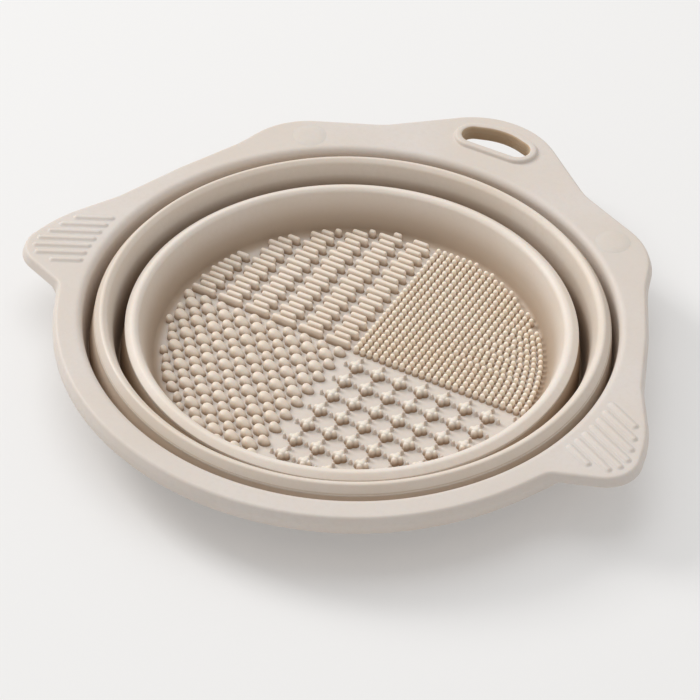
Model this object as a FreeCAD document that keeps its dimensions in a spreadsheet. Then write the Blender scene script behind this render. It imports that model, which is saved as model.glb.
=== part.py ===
import FreeCAD
import Part
import Sketcher
import math
import os
from FreeCAD import Vector

# Collapsible silicone bowl for washing make-up brushes, folded flat.
# Origin: bowl axis, on the flat underside. +Z up, +Y towards the hang slot,
# +X towards the right-hand finger tab. Millimetres.
#
# From the middle outwards the moulding is a cup (stiff), an inner fold (thin),
# a middle ring (stiff), an outer fold (thin) and the rim with its flange (stiff).
# Folded flat, each thin fold hangs down from a crest and turns up again at a toe.

DIMENSIONS = [
    # heights above the table
    ("rim_top", 16.0),
    ("flange_thickness", 2.5),
    ("lip_depth", 4.2),
    ("lip_width", 2.6),
    ("floor_top", 2.8),
    ("mat_bottom", 2.4),
    ("nub_top", 4.8),
    ("spacer_top", 4.4),
    ("middle_toe_top", 2.0),
    ("middle_toe_bottom", 0.6),
    ("rim_toe_top", 6.4),
    ("rim_toe_bottom", 5.2),
    ("middle_crest_top", 16.5),
    ("middle_fold_top", 14.4),
    ("cup_crest_top", 13.3),
    ("cup_fold_top", 11.6),
    # radii
    ("rim_outer", 67.7),
    ("rim_inner", 61.1),
    ("rim_wall_bottom_inner", 59.9),
    ("middle_crest_outer", 58.4),
    ("middle_crest_inner", 55.1),
    ("middle_wall_bottom_inner", 53.3),
    ("cup_crest_outer", 51.3),
    ("cup_crest_inner", 48.3),
    ("cup_wall_knee", 46.4),
    ("field_radius", 44.8),
    ("cup_foot", 47.0),
    ("cup_foot_bevel", 0.8),
    ("cup_knee_rise", 2.9),
    # wall thicknesses and play
    ("wall", 1.8),
    ("rim_toe_wall", 1.3),
    ("edge_bevel", 0.5),
    ("web", 1.0),
    ("outer_web_splay", 1.4),
    ("inner_web_splay", 1.6),
    ("crest_bevel", 0.9),
    # flange outline: each rounding is a disc with a centre and a radius
    ("hang_disc_y", 62.8),
    ("hang_disc_r", 21.0),
    ("valley_x", 35.6),
    ("valley_y", 79.2),
    ("valley_r", 14.5),
    ("ear_x", 35.0),
    ("ear_y", 42.3),
    ("ear_r", 19.2),
    ("ear_side_x", 78.5),
    ("ear_side_y", 51.1),
    ("ear_side_r", 25.0),
    ("shoulder_x", 86.0),
    ("shoulder_y", 17.8),
    ("shoulder_r", 19.0),
    ("tab_side_x", 44.4),
    ("tab_side_y", -16.3),
    ("tab_side_r", 34.0),
    ("tab_x", 69.9),
    ("tab_y", -13.9),
    ("tab_r", 8.6),
    ("notch_x", 65.0),
    ("notch_y", -28.2),
    ("notch_r", 3.0),
    # hang slot, D-shaped: an arch over two rounded corners
    ("slot_arch_y", 63.4),
    ("slot_arch_r", 14.0),
    ("slot_corner_x", 5.9),
    ("slot_corner_y", 73.1),
    ("slot_corner_r", 2.9),
    ("slot_bead", 1.8),
    ("slot_bead_rise", 0.9),
    ("slot_bead_drop", 0.6),
    # ear pads and grip ribs
    ("ear_pad_x", 41.0),
    ("ear_pad_y", 53.0),
    ("ear_pad_r", 3.7),
    ("ear_pad_rise", 0.3),
    ("rib_width", 1.4),
    ("rib_rise", 0.5),
    ("rib_pitch", 2.65),
    ("rib_first", 14.6),
    ("rib_angle", 27.4),
    ("rib_inner_radius", 64.9),
    ("rib_margin", 3.3),
    # nubs
    ("pin_pitch", 1.7),
    ("pin_r", 0.6),
    ("pin_first_x", 0.95),
    ("pin_first_y", 1.4),
    ("pin_fan_top", 27.0),
    ("pin_fan_start", 13.0),
    ("pin_fan_lift", 9.4),
    ("pin_fan_slope", 1.26),
    ("bar_pitch_x", 7.25),
    ("bar_pitch_y", 1.94),
    ("bar_first_x", 4.0),
    ("bar_first_y", 1.75),
    ("bar_width", 1.3),
    ("long_bar", 6.4),
    ("short_bar", 4.2),
    ("egg_pitch_x", 4.48),
    ("egg_pitch_y", 2.47),
    ("egg_first_x", 2.1),
    ("egg_first_y", 1.0),
    ("small_egg_length", 3.0),
    ("small_egg_width", 2.2),
    ("large_egg_length", 3.8),
    ("large_egg_width", 2.7),
    ("cross_pitch", 5.6),
    ("cross_first", 3.7),
    ("cross_span", 3.5),
    ("cross_arm", 1.5),
    ("spacer_r", 0.5),
    ("quarter_gap", 0.15),
]
RIBS_PER_TAB = 7
BEVEL_SHARE = 0.35
SIDES = (("right", 1), ("left", -1))

doc = FreeCAD.newDocument("brush_bowl")
sheet = doc.addObject("Spreadsheet::Sheet", "dims")
for row, (name, size) in enumerate(DIMENSIONS, start=1):
    sheet.set("A%d" % row, name)
    sheet.set("B%d" % row, str(size))
    sheet.setAlias("B%d" % row, name)
doc.recompute()


class Dim:
    """A size with its number and the sheet expression that gives it."""

    def __init__(self, value, text):
        self.value = value
        self.text = text

    def __add__(self, other):
        return combine(self, "+", other)

    def __sub__(self, other):
        return combine(self, "-", other)

    def __mul__(self, other):
        return combine(self, "*", other)


def as_dim(size):
    return size if isinstance(size, Dim) else Dim(float(size), repr(float(size)))


def combine(left, sign, right):
    left = as_dim(left)
    right = as_dim(right)
    values = {
        "+": left.value + right.value,
        "-": left.value - right.value,
        "*": left.value * right.value,
    }
    return Dim(values[sign], "(%s %s %s)" % (left.text, sign, right.text))


def dim(name):
    return Dim(float(sheet.get(name)), "dims." + name)


def number(name):
    return float(sheet.get(name))


def new_body(label):
    body = doc.addObject("PartDesign::Body", label)
    body.Label = label
    return body


def sketch_on(body, name, role, lift=None):
    """A sketch on one of the body's own origin planes, raised by lift."""
    plane = next(f for f in body.Origin.OriginFeatures if f.Role == role)
    sketch = body.newObject("Sketcher::SketchObject", name)
    sketch.AttachmentSupport = (plane, [""])
    sketch.MapMode = "FlatFace"
    if lift is not None:
        sketch.setExpression("AttachmentOffset.Base.z", lift.text)
    return sketch


def bind(sketch, constraint, size):
    index = sketch.addConstraint(constraint)
    sketch.setExpression("Constraints[%d]" % index, size.text)


def draw_polygon(sketch, corners):
    """A closed polygon whose corners are bound to the sheet, as (x, y) pairs."""
    count = len(corners)
    for index, (x, y) in enumerate(corners):
        next_x, next_y = corners[(index + 1) % count]
        start = Vector(x.value, y.value, 0)
        end = Vector(next_x.value, next_y.value, 0)
        sketch.addGeometry(Part.LineSegment(start, end), False)
    for index in range(count):
        sketch.addConstraint(Sketcher.Constraint("Coincident", index, 2, (index + 1) % count, 1))
    for index, (x, y) in enumerate(corners):
        bind(sketch, Sketcher.Constraint("DistanceX", -1, 1, index, 1, x.value), x)
        bind(sketch, Sketcher.Constraint("DistanceY", -1, 1, index, 1, y.value), y)


def draw_circle(sketch, x, y, radius):
    circle = Part.Circle(Vector(x.value, y.value, 0), Vector(0, 0, 1), radius.value)
    index = sketch.addGeometry(circle, False)
    bind(sketch, Sketcher.Constraint("Radius", index, radius.value), radius)
    if x.value == 0 and y.value == 0:
        sketch.addConstraint(Sketcher.Constraint("Coincident", index, 3, -1, 1))
    else:
        bind(sketch, Sketcher.Constraint("DistanceX", -1, 1, index, 3, x.value), x)
        bind(sketch, Sketcher.Constraint("DistanceY", -1, 1, index, 3, y.value), y)


def tangent(first, second):
    """End points of the line that a belt takes from one disc to the next, clockwise.

    A disc is (x, y, radius, turn): turn is 1 for a bulge and -1 for a hollow.
    """
    x1, y1, r1 = (size.value for size in first[:3])
    x2, y2, r2 = (size.value for size in second[:3])
    s1 = r1 * first[3]
    s2 = r2 * second[3]
    span = math.hypot(x2 - x1, y2 - y1)
    heading = math.atan2(y2 - y1, x2 - x1) + math.asin((s2 - s1) / span)
    outward = Vector(-math.sin(heading), math.cos(heading), 0)
    return Vector(x1, y1, 0) + outward * s1, Vector(x2, y2, 0) + outward * s2


def draw_belt(sketch, discs):
    """A closed outline round the discs: an arc on each, a straight line to the next."""
    count = len(discs)
    lines = [tangent(discs[i], discs[(i + 1) % count]) for i in range(count)]
    for index, (x, y, radius, turn) in enumerate(discs):
        centre = Vector(x.value, y.value, 0)
        arrive = lines[index - 1][1] - centre
        leave = lines[index][0] - centre
        start, end = (leave, arrive) if turn > 0 else (arrive, leave)
        circle = Part.Circle(centre, Vector(0, 0, 1), radius.value)
        first_angle = math.atan2(start.y, start.x)
        last_angle = math.atan2(end.y, end.x)
        sketch.addGeometry(Part.ArcOfCircle(circle, first_angle, last_angle), False)
        sketch.addGeometry(Part.LineSegment(*lines[index]), False)
    for index, (x, y, radius, turn) in enumerate(discs):
        arc = 2 * index
        line = arc + 1
        next_arc = (arc + 2) % (2 * count)
        next_turn = discs[(index + 1) % count][3]
        leaves_from = 1 if turn > 0 else 2
        arrives_at = 2 if next_turn > 0 else 1
        sketch.addConstraint(Sketcher.Constraint("Tangent", arc, leaves_from, line, 1))
        sketch.addConstraint(Sketcher.Constraint("Tangent", line, 2, next_arc, arrives_at))
    for index, (x, y, radius, turn) in enumerate(discs):
        arc = 2 * index
        bind(sketch, Sketcher.Constraint("Radius", arc, radius.value), radius)
        if x.value == 0 and y.value == 0:
            sketch.addConstraint(Sketcher.Constraint("Coincident", arc, 3, -1, 1))
            continue
        if x.value == 0:
            sketch.addConstraint(Sketcher.Constraint("PointOnObject", arc, 3, -2))
        else:
            bind(sketch, Sketcher.Constraint("DistanceX", -1, 1, arc, 3, x.value), x)
        bind(sketch, Sketcher.Constraint("DistanceY", -1, 1, arc, 3, y.value), y)


def pad(body, sketch, length):
    feature = body.newObject("PartDesign::Pad", sketch.Name + "_pad")
    feature.Profile = sketch
    feature.setExpression("Length", length.text)
    doc.recompute()
    return feature


def cut_through(body, sketch):
    """A pocket right through the body, checked to have removed material."""
    volume_before = body.Shape.Volume
    feature = body.newObject("PartDesign::Pocket", sketch.Name + "_cut")
    feature.Profile = sketch
    feature.Type = "ThroughAll"
    feature.Midplane = True
    doc.recompute()
    if body.Shape.Volume >= volume_before:
        raise RuntimeError(sketch.Name + " cut nothing")


def ring(label, profile):
    """A body of revolution about the bowl axis, from an (r, z) polygon."""
    body = new_body(label)
    sketch = sketch_on(body, label + "_profile", "XZ_Plane")
    draw_polygon(sketch, profile)
    turn = body.newObject("PartDesign::Revolution", label + "_turn")
    turn.Profile = sketch
    turn.ReferenceAxis = (sketch, ["V_Axis"])
    turn.Angle = 360
    doc.recompute()
    return body


# ---------------------------------------------------------------- cup, stands on the table

def make_floor_plate():
    body = new_body("floor_plate")
    sketch = sketch_on(body, "floor_disc", "XY_Plane")
    draw_circle(sketch, as_dim(0), as_dim(0), dim("field_radius"))
    pad(body, sketch, dim("mat_bottom"))
    return body


def make_cup_wall():
    foot = dim("cup_foot")
    crest_inner = dim("cup_crest_inner")
    knee_height = dim("floor_top") + dim("cup_knee_rise")
    return ring("cup_wall", [
        (dim("field_radius"), as_dim(0)),
        (foot - dim("cup_foot_bevel"), as_dim(0)),
        (foot, dim("cup_foot_bevel")),
        (dim("cup_wall_knee") + dim("wall"), knee_height),
        (crest_inner + dim("wall"), dim("cup_fold_top")),
        (crest_inner, dim("cup_fold_top")),
        (dim("cup_wall_knee"), knee_height),
        (dim("field_radius"), dim("floor_top")),
    ])


def make_crest(label, inner, outer, bottom, top):
    """A ridge with a bevelled inner edge and an outer edge bevelled twice."""
    bevel = dim("crest_bevel")
    return ring(label, [
        (inner, bottom),
        (outer, bottom),
        (outer, top - bevel),
        (outer - bevel * BEVEL_SHARE, top - bevel * BEVEL_SHARE),
        (outer - bevel, top),
        (inner + bevel, top),
        (inner, top - bevel),
    ])


# ---------------------------------------------------------------- nub fields on the cup floor

def quarter(label, x_side, y_side):
    """A quarter-disc mat between the floor plate and the nubs."""
    body = new_body(label)
    sketch = sketch_on(body, label + "_mat", "XY_Plane", dim("mat_bottom"))
    gap = number("quarter_gap") / 2
    radius = number("field_radius")
    reach = math.sqrt(radius ** 2 - gap ** 2)
    centre = Vector(x_side * gap, y_side * gap, 0)
    on_x = Vector(x_side * reach, y_side * gap, 0)
    on_y = Vector(x_side * gap, y_side * reach, 0)
    middle = Vector(x_side, y_side, 0).normalize() * radius
    first, last = (on_x, on_y) if x_side == y_side else (on_y, on_x)
    sketch.addGeometry([
        Part.LineSegment(centre, first),
        Part.Arc(first, middle, last),
        Part.LineSegment(last, centre),
    ], False)
    for index in range(3):
        sketch.addConstraint(Sketcher.Constraint("Coincident", index, 2, (index + 1) % 3, 1))
    pad(body, sketch, dim("floor_top") - dim("mat_bottom"))
    return body


def raise_nubs(body, name, outlines, top):
    """Raise one group of nub outlines from inside the mat to the given height."""
    sketch = sketch_on(body, name, "XY_Plane", dim("mat_bottom"))
    for outline in outlines:
        sketch.addGeometry(outline, False)
    pad(body, sketch, top - dim("mat_bottom"))


def grid(first_x, first_y, pitch_x, pitch_y):
    """Column, row and place of every lattice point in the first quadrant."""
    radius = number("field_radius")
    for row in range(int(radius / pitch_y) + 1):
        for column in range(int(radius / pitch_x) + 1):
            yield column, row, first_x + column * pitch_x, first_y + row * pitch_y


def inside_field(x, y, half_length, half_width):
    """Whether a nub fits in the round field with a small margin."""
    margin = 0.3
    corner = math.hypot(abs(x) + half_length, abs(y) + half_width * 0.5)
    return corner < number("field_radius") - margin


def circle_at(x, y, radius):
    return [Part.Circle(Vector(x, y, 0), Vector(0, 0, 1), radius)]


def bar_at(x, y, length, width):
    """A stadium outline along X."""
    half = width / 2
    run = length / 2 - half
    right = Part.Circle(Vector(x + run, y, 0), Vector(0, 0, 1), half)
    left = Part.Circle(Vector(x - run, y, 0), Vector(0, 0, 1), half)
    return [
        Part.LineSegment(Vector(x - run, y - half, 0), Vector(x + run, y - half, 0)),
        Part.ArcOfCircle(right, -math.pi / 2, math.pi / 2),
        Part.LineSegment(Vector(x + run, y + half, 0), Vector(x - run, y + half, 0)),
        Part.ArcOfCircle(left, math.pi / 2, 3 * math.pi / 2),
    ]


def egg_at(x, y, length, width):
    return [Part.Ellipse(Vector(x, y, 0), length / 2, width / 2)]


def cross_at(x, y, span, arm):
    """A plus-shaped outline."""
    long_half = span / 2
    short_half = arm / 2
    corners = [
        (short_half, short_half), (short_half, long_half), (-short_half, long_half),
        (-short_half, short_half), (-long_half, short_half), (-long_half, -short_half),
        (-short_half, -short_half), (-short_half, -long_half), (short_half, -long_half),
        (short_half, -short_half), (long_half, -short_half), (long_half, short_half),
    ]
    points = [Vector(x + dx, y + dy, 0) for dx, dy in corners]
    return [Part.LineSegment(points[i - 1], points[i]) for i in range(len(points))]


def pin_row(y):
    """X places of one row of pins. Low rows spread their outer pins to follow the rim."""
    first = number("pin_first_x")
    pitch = number("pin_pitch")
    last = math.sqrt((number("field_radius") - first) ** 2 - y ** 2)
    places = [first + k * pitch for k in range(int((last - first) / pitch) + 1)]
    if y < number("pin_fan_top"):
        straight_end = (y + number("pin_fan_lift")) / number("pin_fan_slope")
        places = [x for x in places if x < max(number("pin_fan_start"), straight_end)]
        free = last - places[-1]
        count = max(1, round(free / pitch))
        places += [places[-1] + free * (k + 1) / count for k in range(count)]
    return places


def make_fine_pin_field():
    body = quarter("fine_pin_field", 1, 1)
    pins = []
    highest = number("field_radius") - 3 * number("pin_r")
    rows = int((highest - number("pin_first_y")) / number("pin_pitch")) + 1
    for row in range(rows):
        y = number("pin_first_y") + row * number("pin_pitch")
        for x in pin_row(y):
            pins.append(circle_at(x, y, number("pin_r")))
    raise_nubs(body, "fine_pins", pins, dim("nub_top"))
    return body


def make_bar_field():
    body = quarter("bar_field", -1, 1)
    bars = []
    width = number("bar_width")
    lattice = grid(number("bar_first_x"), number("bar_first_y"), number("bar_pitch_x"), number("bar_pitch_y"))
    for _, row, x, y in lattice:
        length = number("long_bar") if row % 2 == 0 else number("short_bar")
        if inside_field(x, y, length / 2, width):
            bars.append(bar_at(-x, y, length, width))
    raise_nubs(body, "bars", bars, dim("nub_top"))
    return body


def make_egg_field():
    body = quarter("egg_nub_field", -1, -1)
    eggs = []
    pitch_x = number("egg_pitch_x")
    lattice = grid(number("egg_first_x"), number("egg_first_y"), pitch_x, number("egg_pitch_y"))
    for _, row, x, y in lattice:
        size = "small" if row % 2 == 0 else "large"
        length = number(size + "_egg_length")
        width = number(size + "_egg_width")
        place = x + pitch_x / 2 * (row % 2)
        if inside_field(place, y, length / 2, width):
            eggs.append(egg_at(-place, -y, length, width))
    raise_nubs(body, "eggs", eggs, dim("nub_top"))
    return body


def make_cross_field():
    """Crosses on every second place of a half-pitch lattice, low pins between them."""
    body = quarter("cross_field", 1, -1)
    crosses = []
    spacers = []
    half_pitch = number("cross_pitch") / 2
    first = number("cross_first") - half_pitch
    span = number("cross_span")
    spacer_r = number("spacer_r")
    for column, row, x, y in grid(first, first, half_pitch, half_pitch):
        odd_places = column % 2 + row % 2
        if odd_places == 2 and inside_field(x, y, span / 2, span):
            crosses.append(cross_at(x, -y, span, number("cross_arm")))
        if odd_places == 1 and inside_field(x, y, spacer_r, spacer_r):
            spacers.append(circle_at(x, -y, spacer_r))
    raise_nubs(body, "crosses", crosses, dim("nub_top"))
    raise_nubs(body, "spacers", spacers, dim("spacer_top"))
    return body


# ---------------------------------------------------------------- folds and middle ring

def make_web(label, crest_outer, fold_top, splay, toe):
    """A thin fold that hangs from a crest down to the next ring's toe."""
    inner = crest_outer - dim("web")
    return ring(label, [
        (inner, fold_top),
        (inner + splay, toe),
        (crest_outer + splay, toe),
        (crest_outer, fold_top),
    ])


def make_middle_ring_wall():
    toe_inner = dim("cup_crest_outer") - dim("web") + dim("inner_web_splay")
    bottom_inner = dim("middle_wall_bottom_inner")
    crest_inner = dim("middle_crest_inner")
    return ring("middle_ring_wall", [
        (toe_inner, dim("middle_toe_bottom")),
        (bottom_inner + dim("wall") - dim("edge_bevel"), dim("middle_toe_bottom")),
        (bottom_inner + dim("wall"), dim("middle_toe_top")),
        (crest_inner + dim("wall"), dim("middle_fold_top")),
        (crest_inner, dim("middle_fold_top")),
        (bottom_inner, dim("middle_toe_top")),
        (toe_inner, dim("middle_toe_top")),
    ])


# ---------------------------------------------------------------- rim

def make_rim_wall():
    toe_inner = dim("middle_crest_outer") - dim("web") + dim("outer_web_splay")
    bottom_inner = dim("rim_wall_bottom_inner")
    under_flange = dim("rim_top") - dim("flange_thickness")
    return ring("rim_wall", [
        (toe_inner, dim("rim_toe_bottom")),
        (bottom_inner + dim("rim_toe_wall") - dim("edge_bevel"), dim("rim_toe_bottom")),
        (bottom_inner + dim("rim_toe_wall"), dim("rim_toe_top")),
        (dim("rim_inner") + dim("wall"), under_flange),
        (dim("rim_inner"), under_flange),
        (bottom_inner, dim("rim_toe_top")),
        (toe_inner, dim("rim_toe_top")),
    ])


def make_rim_lip():
    """The downturned lip under the plain edge of the flange."""
    outer = dim("rim_outer")
    bottom = dim("rim_top") - dim("lip_depth")
    top = dim("rim_top") - dim("flange_thickness")
    return ring("rim_lip", [
        (outer - dim("lip_width"), bottom),
        (outer - dim("edge_bevel"), bottom),
        (outer, bottom + dim("edge_bevel")),
        (outer, top),
        (outer - dim("lip_width"), top),
    ])


def flange_discs():
    """The outline's discs, clockwise from the hang lobe: right side, then left."""
    rim = (as_dim(0), as_dim(0), dim("rim_outer"), 1)
    right = []
    for name, turn in (("valley", -1), ("ear", 1), ("ear_side", -1)):
        right.append((dim(name + "_x"), dim(name + "_y"), dim(name + "_r"), turn))
    right.append(rim)
    for name, turn in (("shoulder", -1), ("tab_side", 1), ("tab", 1), ("notch", -1)):
        right.append((dim(name + "_x"), dim(name + "_y"), dim(name + "_r"), turn))
    left = []
    for x, y, radius, turn in reversed(right):
        mirrored_x = x if x.value == 0 else x * -1
        left.append((mirrored_x, y, radius, turn))
    hang_lobe = (as_dim(0), dim("hang_disc_y"), dim("hang_disc_r"), 1)
    return [hang_lobe] + right + [rim] + left


def slot_discs(extra):
    """The D-shaped slot, grown outwards by extra."""
    corner_x = dim("slot_corner_x")
    corner_y = dim("slot_corner_y")
    corner_r = dim("slot_corner_r") + extra
    return [
        (as_dim(0), dim("slot_arch_y"), dim("slot_arch_r") + extra, 1),
        (corner_x, corner_y, corner_r, 1),
        (corner_x * -1, corner_y, corner_r, 1),
    ]


def make_rim_flange():
    body = new_body("rim_flange")
    under_flange = dim("rim_top") - dim("flange_thickness")
    outline = sketch_on(body, "flange_outline", "XY_Plane", under_flange)
    draw_belt(outline, flange_discs())
    pad(body, outline, dim("flange_thickness"))
    opening = sketch_on(body, "bowl_opening", "XY_Plane", dim("rim_top"))
    draw_circle(opening, as_dim(0), as_dim(0), dim("rim_inner"))
    cut_through(body, opening)
    slot = sketch_on(body, "slot_opening", "XY_Plane", dim("rim_top"))
    draw_belt(slot, slot_discs(dim("slot_bead")))
    cut_through(body, slot)
    return body


def make_hang_slot_bead():
    """The raised bead that lines the slot and stands proud on both faces."""
    body = new_body("hang_slot_bead")
    bottom = dim("rim_top") - dim("flange_thickness") - dim("slot_bead_drop")
    height = dim("flange_thickness") + dim("slot_bead_drop") + dim("slot_bead_rise")
    outside = sketch_on(body, "bead_outside", "XY_Plane", bottom)
    draw_belt(outside, slot_discs(dim("slot_bead")))
    pad(body, outside, height)
    hole = sketch_on(body, "bead_hole", "XY_Plane", dim("rim_top"))
    draw_belt(hole, slot_discs(as_dim(0)))
    cut_through(body, hole)
    return body


def rib_ends(index):
    """Both ends of a right-hand grip rib, from near the tab's edge inwards."""
    angle = math.radians(number("rib_angle"))
    inwards = Vector(-math.cos(angle), math.sin(angle), 0)
    across = Vector(math.sin(angle), math.cos(angle), 0)
    offset = number("rib_first") + index * number("rib_pitch")
    inner = across * offset - inwards * math.sqrt(number("rib_inner_radius") ** 2 - offset ** 2)
    tab = Vector(number("tab_x"), number("tab_y"), 0)
    side = Vector(number("tab_side_x"), number("tab_side_y"), 0)
    side_disc, tab_disc = flange_discs()[6:8]
    outward = (tangent(side_disc, tab_disc)[1] - tab).normalize()
    edge = number("tab_r") - number("rib_margin")
    centre = tab
    if offset - tab.dot(across) > edge * outward.dot(across):
        edge = number("tab_side_r") - number("rib_margin")
        centre = side
    off_centre = offset - centre.dot(across)
    reach = math.sqrt(edge ** 2 - off_centre ** 2)
    return centre + across * off_centre - inwards * reach, inner


def make_grip_ribs(side, sign):
    """Short parallel ribs on one finger tab, as separate solids."""
    shapes = []
    half = number("rib_width") / 2
    sunk = number("rim_top")
    for index in range(RIBS_PER_TAB):
        outer, inner = rib_ends(index)
        outer = Vector(sign * outer.x, outer.y, sunk)
        inner = Vector(sign * inner.x, inner.y, sunk)
        run = (inner - outer).normalize()
        left = Vector(-run.y, run.x, 0) * half
        edges = [
            Part.LineSegment(outer + left, inner + left).toShape(),
            Part.Arc(inner + left, inner + run * half, inner - left).toShape(),
            Part.LineSegment(inner - left, outer - left).toShape(),
            Part.Arc(outer - left, outer - run * half, outer + left).toShape(),
        ]
        face = Part.Face(Part.Wire(edges))
        shapes.append(face.extrude(Vector(0, 0, number("rib_rise"))))
    ribs = doc.addObject("Part::Feature", side + "_grip_ribs")
    ribs.Label = side + "_grip_ribs"
    ribs.Shape = Part.makeCompound(shapes)
    return ribs


def make_ear_pad(side, sign):
    """A low round pad on one ear of the flange."""
    pad_disc = doc.addObject("Part::Cylinder", side + "_ear_pad")
    pad_disc.Label = side + "_ear_pad"
    pad_disc.setExpression("Radius", "dims.ear_pad_r")
    pad_disc.setExpression("Height", "dims.ear_pad_rise")
    pad_disc.setExpression("Placement.Base.x", "dims.ear_pad_x * %d" % sign)
    pad_disc.setExpression("Placement.Base.y", "dims.ear_pad_y")
    pad_disc.setExpression("Placement.Base.z", "dims.rim_top")
    return pad_disc


nodes = [
    make_floor_plate(),
    make_cup_wall(),
    make_crest("cup_crest", dim("cup_crest_inner"), dim("cup_crest_outer"),
               dim("cup_fold_top"), dim("cup_crest_top")),
    make_fine_pin_field(),
    make_bar_field(),
    make_egg_field(),
    make_cross_field(),
    make_web("inner_fold_web", dim("cup_crest_outer"), dim("cup_fold_top"),
             dim("inner_web_splay"), dim("middle_toe_top")),
    make_middle_ring_wall(),
    make_crest("middle_ring_crest", dim("middle_crest_inner"), dim("middle_crest_outer"),
               dim("middle_fold_top"), dim("middle_crest_top")),
    make_web("outer_fold_web", dim("middle_crest_outer"), dim("middle_fold_top"),
             dim("outer_web_splay"), dim("rim_toe_top")),
    make_rim_wall(),
    make_rim_lip(),
    make_rim_flange(),
    make_hang_slot_bead(),
]
for side, sign in SIDES:
    nodes.append(make_grip_ribs(side, sign))
    nodes.append(make_ear_pad(side, sign))

doc.recompute()
for item in doc.Objects:
    if "Invalid" in item.State or "Error" in item.State:
        raise RuntimeError("%s failed: %s" % (item.Label, item.State))
for node in nodes:
    if node.Shape.isNull() or not node.Shape.isValid():
        raise RuntimeError(node.Label + " has no valid shape")

os.makedirs("parts", exist_ok=True)
for node in nodes:
    node.Shape.exportStep(os.path.join("parts", node.Label + ".step"))
    box = node.Shape.BoundBox
    print("%-20s solids %3d volume %9.1f  z %6.2f to %6.2f" % (
        node.Label, len(node.Shape.Solids), node.Shape.Volume, box.ZMin, box.ZMax))
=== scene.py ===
import math
import random

import bpy
import numpy as np
from mathutils import Matrix, Vector
from mathutils.geometry import delaunay_2d_cdt


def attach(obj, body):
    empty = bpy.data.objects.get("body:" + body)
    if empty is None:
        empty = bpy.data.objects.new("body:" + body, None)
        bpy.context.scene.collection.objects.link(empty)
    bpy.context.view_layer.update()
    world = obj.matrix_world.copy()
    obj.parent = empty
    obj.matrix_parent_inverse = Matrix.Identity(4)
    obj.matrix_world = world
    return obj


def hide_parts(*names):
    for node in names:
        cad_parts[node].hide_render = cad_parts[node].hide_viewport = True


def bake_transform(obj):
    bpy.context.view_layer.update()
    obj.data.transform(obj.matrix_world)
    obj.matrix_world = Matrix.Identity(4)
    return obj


# Collapsible silicone brush-cleaning bowl, folded flat. Shapes are worked out in millimetres
# in the part's own frame and turned into metres when a mesh is made.

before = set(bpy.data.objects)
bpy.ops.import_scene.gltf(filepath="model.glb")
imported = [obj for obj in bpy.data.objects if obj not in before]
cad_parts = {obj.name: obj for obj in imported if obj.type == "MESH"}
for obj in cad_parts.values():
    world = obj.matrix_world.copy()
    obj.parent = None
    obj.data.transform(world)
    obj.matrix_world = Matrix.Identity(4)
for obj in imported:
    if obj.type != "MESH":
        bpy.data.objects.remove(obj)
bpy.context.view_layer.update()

MM = 0.001
FULL_TURN = 2 * math.pi

# steps round the bowl's axis, and millimetres between points along other lines
RING_STEPS = 384
WEB_STEPS = 256
OUTLINE_SPACING = 0.8
SLOT_SPACING = 0.35
FLOOR_RUN = 6.0

# heights
TOP = 16.0
FLANGE_UNDER = 13.5
LIP_BOTTOM = 11.8
FLOOR = 2.8
NUB_TOP = 4.8
TOE_TOP = 2.0
TOE_BOTTOM = 0.6
RIM_TOE_TOP = 6.4
RIM_TOE_BOTTOM = 5.2
MIDDLE_FOLD = 14.4
CUP_FOLD = 11.6

# radii
RIM = 67.7
RIM_OPENING = 61.0
RIM_TOE_INNER = 58.78
RIM_WALL_OUTER = 62.9
MIDDLE_OUTER = 58.42
MIDDLE_PEAK = 56.75
MIDDLE_TOE_INNER = 51.85
MIDDLE_TOE_OUTER = 55.1
CUP_OUTER = 51.48
CUP_PEAK = 49.6
CUP_FOOT = 47.0
FIELD = 44.8

# rim edge and hang slot
LIP_WIDTH = 2.6
EDGE_FOOT_ROUND = 0.4
BEAD_WIDTH = 1.75
BEAD_RISE = 0.9
BEAD_DROP = 0.6
SLOT_FLAT = 2.6
SLOT_PARTING = 15.05
# the slot's own wall is where the rows grow less than this
SLOT_WALL = 0.3

# triangles over the flange's flat: size, how far out they may lie, gap to the loops, slack
FILL_CELL = 2.0
FILL_REACH = 90.0
FILL_GAP = 0.8
FILL_SLACK = 0.02

# flange outline discs on the right-hand side: x, y, radius (negative for a hollow)
HANG_DISC = (0.0, 62.8, 21.0)
RIM_DISC = (0.0, 0.0, RIM)
RIGHT_DISCS = [
    (35.6, 79.2, -14.5),
    (35.0, 42.3, 19.2),
    (78.5, 51.1, -25.0),
    RIM_DISC,
    (86.0, 17.8, -19.0),
    (44.4, -16.3, 34.0),
    (69.9, -13.9, 8.6),
    (65.0, -28.2, -3.0),
]
LEFT_DISCS = [(-x, y, r) for x, y, r in reversed(RIGHT_DISCS)]
FLANGE_DISCS = [HANG_DISC] + RIGHT_DISCS + [RIM_DISC] + LEFT_DISCS
SLOT_DISCS = [(0.0, 63.4, 14.0), (5.9, 73.1, 2.9), (-5.9, 73.1, 2.9)]


# ---------------------------------------------------------------- helpers for shapes

# where the soft rim rides highest, and where the rings lean outwards
FRONT = math.radians(-62.0)
SLACK = math.radians(28.0)
RIM_RISE = 0.22
RIM_TILT = 0.34
RING_LEAN = 0.85
# the unevenness grows over these radii and heights
SOFT_RADII = (38.0, 60.0)
SOFT_HEIGHTS = (1.0, 9.0)
# slow waves round the moulding: size, waves per turn, phase
LIFT_WAVES = [(0.10, 2, 0.6), (0.06, 3, 2.1), (0.04, 5, 4.0), (0.02, 9, 1.0)]
SPREAD_WAVES = [(0.10, 2, 2.4), (0.06, 4, 0.3)]


def smoothstep(low, high, value):
    t = np.clip((value - low) / (high - low), 0.0, 1.0)
    return t * t * (3 - 2 * t)


def waves(terms, theta):
    return sum(size * np.sin(count * theta + phase) for size, count, phase in terms)


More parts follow.
